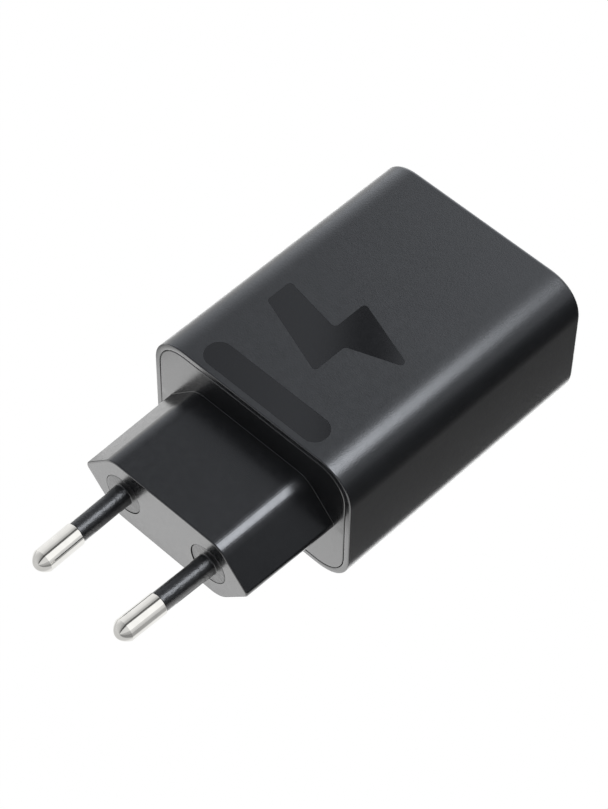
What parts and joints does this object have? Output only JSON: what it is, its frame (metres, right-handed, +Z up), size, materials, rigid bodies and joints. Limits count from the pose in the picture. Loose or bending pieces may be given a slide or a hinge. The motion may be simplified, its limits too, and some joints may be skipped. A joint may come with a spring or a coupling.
{
  "type": "usb wall charger",
  "caption": "Boxy black USB wall charger with a fixed flat European mains plug on one end and USB sockets on the other.",
  "frame": {"origin": "centre of the footprint at the broad back face the charger lies on: halfway across its width, and halfway between the pin tips and the port face", "axes": "+Z up, away from the broad back face; +Y from the pins to the port face; +X to the right as seen from the pins"},
  "size_m": [0.0424, 0.0904, 0.0272],
  "materials": {
    "housing_plastic": "fine spark-eroded matte black",
    "cap_plastic": "satin black",
    "sleeve_plastic": "satin black",
    "pin_metal": "bright nickel plate",
    "contact_brass": "plain",
    "board_laminate": "green solder mask",
    "insulation_film": "frosted film",
    "fuse_case": "moulded brown",
    "thermistor_coat": "dipped coating",
    "film_capacitor_case": "moulded yellow",
    "ferrite": "ground, dark grey",
    "winding_copper": "enamelled copper wire",
    "chip_plastic": "moulded black epoxy",
    "capacitor_sleeve": "shrunk film on an aluminium can",
    "winding_tape": "yellow polyester tape",
    "disc_coat": "dipped blue coating",
    "can_aluminium": "drawn can",
    "pad_silicone": "soft, matte",
    "spreader_aluminium": "rolled sheet",
    "shell_steel": "nickel-plated, formed sheet"
  },
  "bodies": {
    "root": {"housing_shell": "housing_plastic", "front_cap": "cap_plastic", "pin_left": "pin_metal", "pin_right": "pin_metal", "pin_sleeve_left": "sleeve_plastic", "pin_sleeve_right": "sleeve_plastic", "mains_contact_left": "contact_brass", "mains_contact_right": "contact_brass", "main_board": "board_laminate", "insulating_sheet": "insulation_film", "input_fuse": "fuse_case", "inrush_thermistor": "thermistor_coat", "x_capacitor": "film_capacitor_case", "choke_core": "ferrite", "choke_winding_left": "winding_copper", "choke_winding_right": "winding_copper", "bridge_rectifier": "chip_plastic", "bulk_capacitor_left": "capacitor_sleeve", "bulk_capacitor_right": "capacitor_sleeve", "transformer_core_lower": "ferrite", "transformer_core_upper": "ferrite", "transformer_bobbin": "chip_plastic", "transformer_winding": "winding_tape", "power_switch_chip": "chip_plastic", "sync_rectifier_chip": "chip_plastic", "y_capacitor": "disc_coat", "optocoupler": "chip_plastic", "output_capacitor_left": "can_aluminium", "output_capacitor_right": "can_aluminium", "thermal_pad": "pad_silicone", "heat_spreader": "spreader_aluminium", "usb_board": "board_laminate", "usb_power_chip": "chip_plastic", "usb_a_shell": "shell_steel", "usb_a_tongue": "chip_plastic", "usb_a_contact_1": "contact_brass", "usb_a_contact_2": "contact_brass", "usb_a_contact_3": "contact_brass", "usb_a_contact_4": "contact_brass", "usb_c_shell": "shell_steel", "usb_c_tongue": "chip_plastic"}
  },
  "joints": []
}
